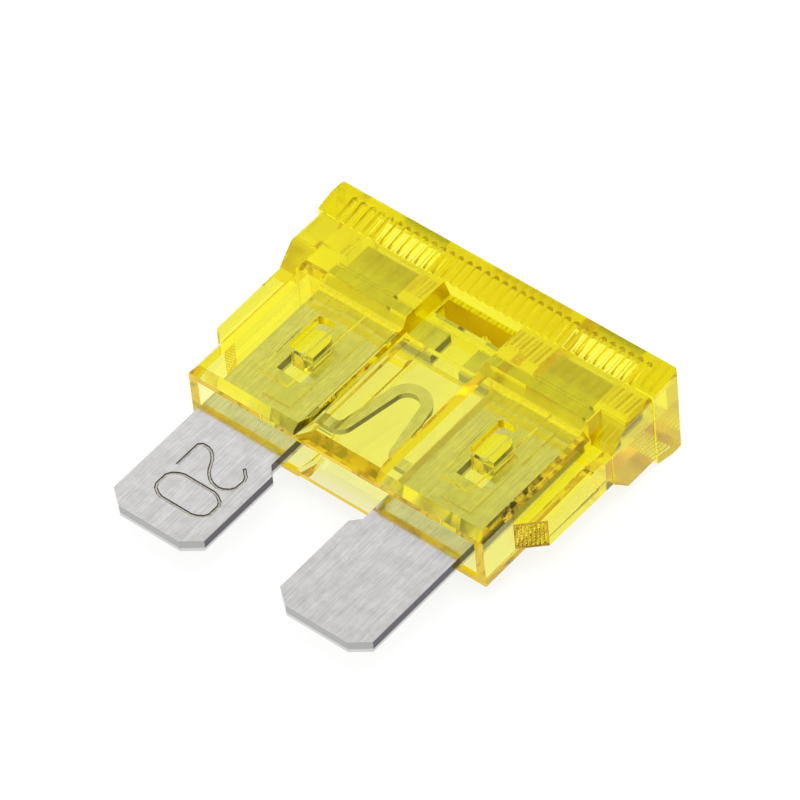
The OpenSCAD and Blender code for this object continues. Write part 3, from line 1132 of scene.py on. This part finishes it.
@dataclass
class Softbox:
    """One square studio lamp, aimed at the fuse."""

    name: str
    place_mm: tuple[float, float, float]
    side_mm: float
    watts: float

    def build(self, aim: Vector) -> bpy.types.Object:
        """Adds the lamp.

        Args:
            aim: the point that it faces, in metres.

        Returns:
            The lamp.
        """
        light = bpy.data.lights.new(self.name, "AREA")
        light.size = self.side_mm * MM
        light.energy = self.watts
        lamp = bpy.data.objects.new(self.name, light)
        lamp.location = Vector(self.place_mm) * MM
        lamp.rotation_euler = (aim - lamp.location).to_track_quat("-Z", "Y").to_euler()
        bpy.context.scene.collection.objects.link(lamp)
        return lamp


@dataclass
class Studio:
    """White table, soft lamps and the camera of the photograph.

    The camera stands 308 mm from the point where its axis meets the blades' middle plane. Places are in
    millimetres from the point midway between the blade tips, in that plane.
    """

    aim_mm: tuple[float, float, float] = (-0.652, 12.012, 0.0)
    azimuth: float = 44.020
    elevation: float = 48.517
    distance_mm: float = 307.947
    roll: float = -5.916
    lens_mm: float = 319.14
    sensor_mm: float = 36.0
    clip_mm: tuple[float, float] = (10.0, 20000.0)
    table_mm: float = 6000.0
    table_gap_mm: float = 0.01
    table_glow: float = 0.8
    table_colour: str = "959595"
    sky_light: float = 0.75
    sky_fade: tuple[float, float] = (0.7, 0.9)
    zenith: float = 0.4
    clear_bounces: int = 48
    mirror_bounces: int = 16
    lamps: tuple[Softbox, ...] = (
        Softbox("top_softbox", (45.0, -15.0, 300.0), 150.0, 0.2),
        Softbox("front_softbox", (-260.0, -90.0, 120.0), 120.0, 0.05),
    )

    def aim(self) -> Vector:
        """The point that the camera and the lamps face, in metres."""
        return Vector(between_tips()) + Vector(self.aim_mm) * MM

    def camera(self) -> bpy.types.Object:
        """Adds the camera: it looks at the aim from the given azimuth and elevation, then rolls.

        Returns:
            The camera, which is made the scene's own.
        """
        data = bpy.data.cameras.new("camera")
        data.lens = self.lens_mm
        data.sensor_width = self.sensor_mm
        data.clip_start, data.clip_end = (end * MM for end in self.clip_mm)
        camera = bpy.data.objects.new("camera", data)
        around, above = math.radians(self.azimuth), math.radians(self.elevation)
        back = Vector(
            (
                math.sin(around) * math.cos(above),
                -math.cos(around) * math.cos(above),
                math.sin(above),
            )
        )
        turn = (-back).to_track_quat("-Z", "Y").to_matrix().to_4x4()
        roll = Matrix.Rotation(math.radians(self.roll), 4, "Z")
        camera.matrix_world = Matrix.Translation(self.aim() + back * self.distance_mm * MM) @ turn @ roll
        bpy.context.scene.collection.objects.link(camera)
        bpy.context.scene.camera = camera
        return camera

    def seen_plainly(self, tree: bpy.types.NodeTree) -> bpy.types.NodeSocket:
        """Tells the rays that see a thing from those that only gather its light.

        Args:
            tree: the node tree.

        Returns:
            A factor of 1 for rays from the camera, mirrors and clear plastic, and 0 for the others.
        """
        rays = add_node(tree, "LightPath")
        total = add_node(
            tree,
            "Math",
            {"operation": "ADD"},
            {0: rays.outputs["Is Camera Ray"], 1: rays.outputs["Is Glossy Ray"]},
        )
        total = add_node(
            tree,
            "Math",
            {"operation": "ADD", "use_clamp": True},
            {0: total.outputs[0], 1: rays.outputs["Is Transmission Ray"]},
        )
        return total.outputs[0]

    def table(self) -> bpy.types.Object:
        """Adds the white table: it glows a little short of white, and the lamps' light on it does the rest.

        Returns:
            The table, a hair below the fuse.
        """
        half = self.table_mm / 2 * MM
        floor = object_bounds()[0][2] - self.table_gap_mm * MM
        level = [(-half, -half), (half, -half), (half, half), (-half, half)]
        corners = np.array([(x, y, floor) for x, y in level])
        table = mesh_object("table", corners, np.array([[0, 1, 2, 3]]))
        material, tree = new_material("white_table")
        glow = add_node(
            tree, "Emission", {"Color": (1.0, 1.0, 1.0, 1.0), "Strength": self.table_glow}
        )
        plain = add_node(tree, "BsdfDiffuse", {"Color": linear(self.table_colour)})
        both = add_node(
            tree, "AddShader", links={0: glow.outputs[0], 1: plain.outputs[0]}
        )
        mixed = add_node(
            tree,
            "MixShader",
            links={0: self.seen_plainly(tree), 1: plain.outputs[0], 2: both.outputs[0]},
        )
        add_node(tree, "OutputMaterial", links={"Surface": mixed.outputs[0]})
        table.data.materials.append(material)
        table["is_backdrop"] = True
        return table

    def sky(self) -> None:
        """Fills the world with white: full strength where it is seen, fading overhead, less as light."""
        world = bpy.data.worlds.new("white_room")
        world.use_nodes = True
        tree = world.node_tree
        tree.nodes.clear()
        light = add_node(tree, "Background", {"Color": linear("ffffff"), "Strength": self.sky_light})
        place = add_node(tree, "TexCoord")
        ray = add_node(tree, "SeparateXYZ", links={"Vector": place.outputs["Generated"]})
        fade = add_node(
            tree,
            "MapRange",
            {
                "interpolation_type": "SMOOTHSTEP",
                "From Min": self.sky_fade[0],
                "From Max": self.sky_fade[1],
                "To Min": 1.0,
                "To Max": self.zenith,
            },
            {"Value": ray.outputs["Z"]},
        )
        seen = add_node(
            tree, "Background", {"Color": linear("ffffff")}, {"Strength": fade.outputs["Result"]}
        )
        mixed = add_node(
            tree,
            "MixShader",
            links={0: self.seen_plainly(tree), 1: light.outputs[0], 2: seen.outputs[0]},
        )
        add_node(tree, "OutputWorld", links={"Surface": mixed.outputs[0]})
        bpy.context.scene.world = world

    def build(self) -> None:
        """Adds camera, sky, table and lamps, and sets how the picture is made."""
        scene = bpy.context.scene
        scene.view_settings.view_transform = "Standard"
        scene.cycles.max_bounces = self.clear_bounces
        scene.cycles.transmission_bounces = self.clear_bounces
        scene.cycles.glossy_bounces = self.mirror_bounces
        self.camera()
        self.sky()
        self.table()
        for lamp in self.lamps:
            lamp.build(self.aim())


def main() -> None:
    """Builds every piece, then the studio round them."""
    logging.basicConfig(level=logging.INFO, format="%(name)s: %(message)s")
    for part in (FuseElement(), Housing()):
        piece = part.build()
        LOG.info("%s: %d faces", piece.name, len(piece.data.polygons))
    Studio().build()
    LOG.info("studio ready")


if __name__ == "__main__":
    main()
